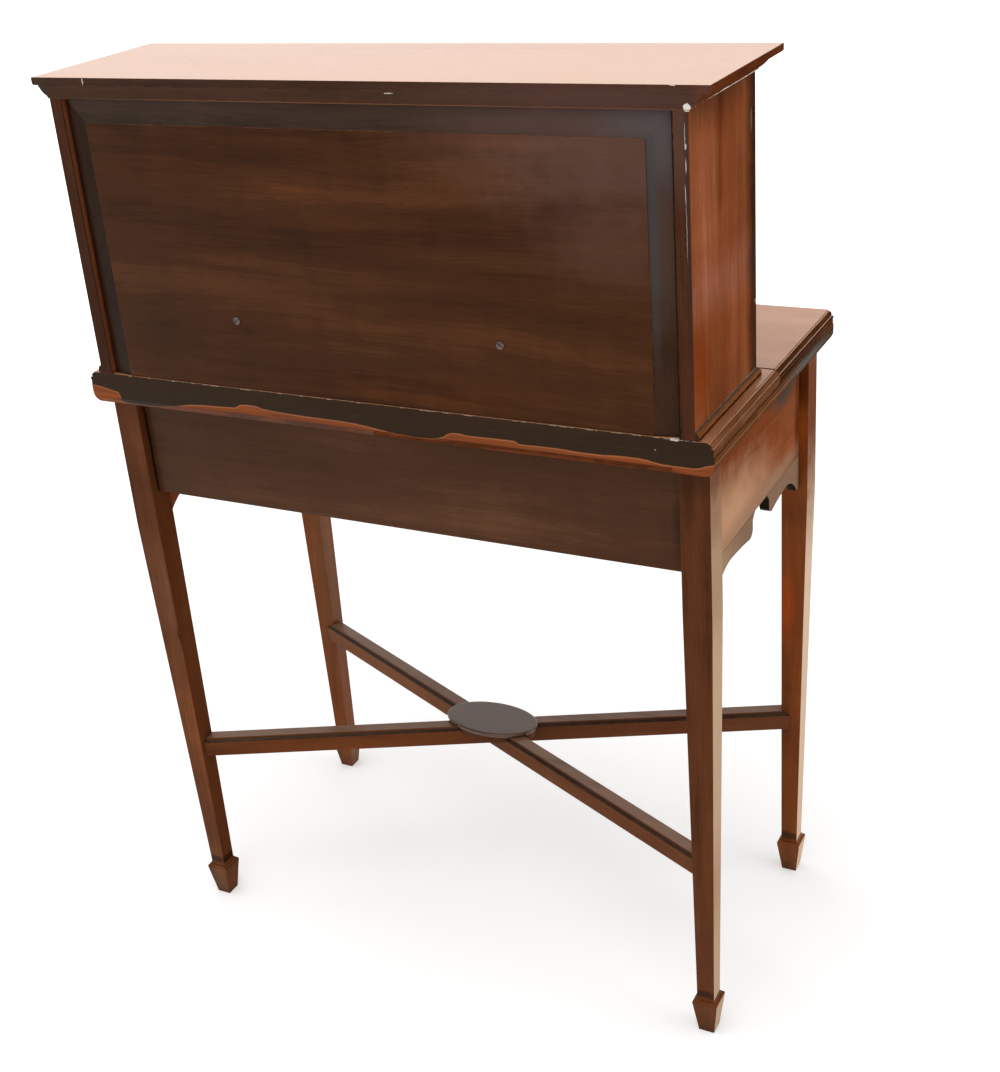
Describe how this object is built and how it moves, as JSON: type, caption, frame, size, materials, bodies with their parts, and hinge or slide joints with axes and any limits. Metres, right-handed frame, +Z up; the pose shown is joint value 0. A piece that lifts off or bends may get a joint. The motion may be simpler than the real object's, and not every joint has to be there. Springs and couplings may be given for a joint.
{
  "type": "writing desk",
  "caption": "Small writing desk with a fold-over leaf, frieze drawer, slender spade-foot legs, a crossed stretcher with an oval platform, and a raised case with doors and a moulded cornice.",
  "frame": {"origin": "on the floor, at the bottom centre of the whole desk's bounding box", "axes": "+Z up, the sitter's side faces -Y, +X to the sitter's right"},
  "size_m": [0.76, 0.41, 1.095],
  "materials": {
    "polished_mahogany": "high-gloss french polish",
    "dark_mahogany": "dark stained high-gloss french polish",
    "raw_mahogany": "unpolished, waxed",
    "drawer_lining_wood": "planed and waxed",
    "frame_softwood": "planed, bare",
    "tooled_leather": "waxed",
    "turned_brass": "aged, satin",
    "screw_steel": "blackened"
  },
  "bodies": {
    "desk": {"back_panel": "dark_mahogany", "back_rail": "polished_mahogany", "back_screws": "screw_steel", "bed_skiver": "tooled_leather", "case_bottom": "polished_mahogany", "case_shelves": "polished_mahogany", "case_side_left": "polished_mahogany", "case_side_right": "polished_mahogany", "case_top": "polished_mahogany", "cornice_bed_board": "dark_mahogany", "cornice_slab": "dark_mahogany", "drawer_blade": "polished_mahogany", "drawer_runners": "frame_softwood", "fixed_hinge_plates": "turned_brass", "foot_moulding": "polished_mahogany", "frieze_stiles": "polished_mahogany", "leg_front_left": "polished_mahogany", "leg_front_right": "polished_mahogany", "leg_rear_left": "polished_mahogany", "leg_rear_right": "polished_mahogany", "loper_guide_left": "frame_softwood", "loper_guide_right": "frame_softwood", "ogee_brackets_left": "polished_mahogany", "ogee_brackets_right": "polished_mahogany", "partition_left": "polished_mahogany", "partition_right": "polished_mahogany", "pigeonhole_dividers": "polished_mahogany", "platform_block": "polished_mahogany", "platform_top": "polished_mahogany", "rear_top_board": "polished_mahogany", "side_rail_left": "polished_mahogany", "side_rail_right": "polished_mahogany", "stretcher_front_left": "polished_mahogany", "stretcher_front_right": "polished_mahogany", "stretcher_rear_left": "polished_mahogany", "stretcher_rear_right": "polished_mahogany", "top_bed": "polished_mahogany", "top_linings": "raw_mahogany"},
    "leaf": {"writing_leaf": "polished_mahogany", "leaf_skiver": "tooled_leather", "leaf_hinge_plates": "turned_brass"},
    "loper_left_body": {"loper_left": "polished_mahogany", "loper_knob_left": "turned_brass"},
    "loper_right_body": {"loper_right": "polished_mahogany", "loper_knob_right": "turned_brass"},
    "frieze_drawer": {"drawer_front": "polished_mahogany", "drawer_sides": "drawer_lining_wood", "drawer_back": "drawer_lining_wood", "drawer_bottom": "drawer_lining_wood", "drawer_knobs": "turned_brass"},
    "door_left": {"door_frame_left": "polished_mahogany", "door_panel_left": "polished_mahogany", "door_fittings_left": "turned_brass"},
    "door_right": {"door_frame_right": "polished_mahogany", "door_panel_right": "polished_mahogany", "door_fittings_right": "turned_brass"},
    "case_drawer": {"case_drawer_front": "polished_mahogany", "case_drawer_box": "drawer_lining_wood", "case_drawer_knobs": "turned_brass"}
  },
  "joints": [
    {"name": "leaf_hinge", "type": "hinge", "parent": "desk", "child": "leaf", "pos_m": [0, -0.2025, 0.74815], "axis": [1, 0, 0], "range_deg": [0, 180]},
    {"name": "loper_left_slide", "type": "slide", "parent": "desk", "child": "loper_left_body", "axis": [0, -1, 0], "range_m": [0, 0.19]},
    {"name": "loper_right_slide", "type": "slide", "parent": "desk", "child": "loper_right_body", "axis": [0, -1, 0], "range_m": [0, 0.19]},
    {"name": "frieze_drawer_slide", "type": "slide", "parent": "desk", "child": "frieze_drawer", "axis": [0, -1, 0], "range_m": [0, 0.24]},
    {"name": "door_left_hinge", "type": "hinge", "parent": "desk", "child": "door_left", "pos_m": [-0.3428, 0.0192, 0.917], "axis": [0, 0, -1], "range_deg": [0, 165]},
    {"name": "door_right_hinge", "type": "hinge", "parent": "desk", "child": "door_right", "pos_m": [0.3428, 0.0192, 0.917], "axis": [0, 0, 1], "range_deg": [0, 165]},
    {"name": "case_drawer_slide", "type": "slide", "parent": "desk", "child": "case_drawer", "axis": [0, -1, 0], "range_m": [0, 0.1]}
  ]
}
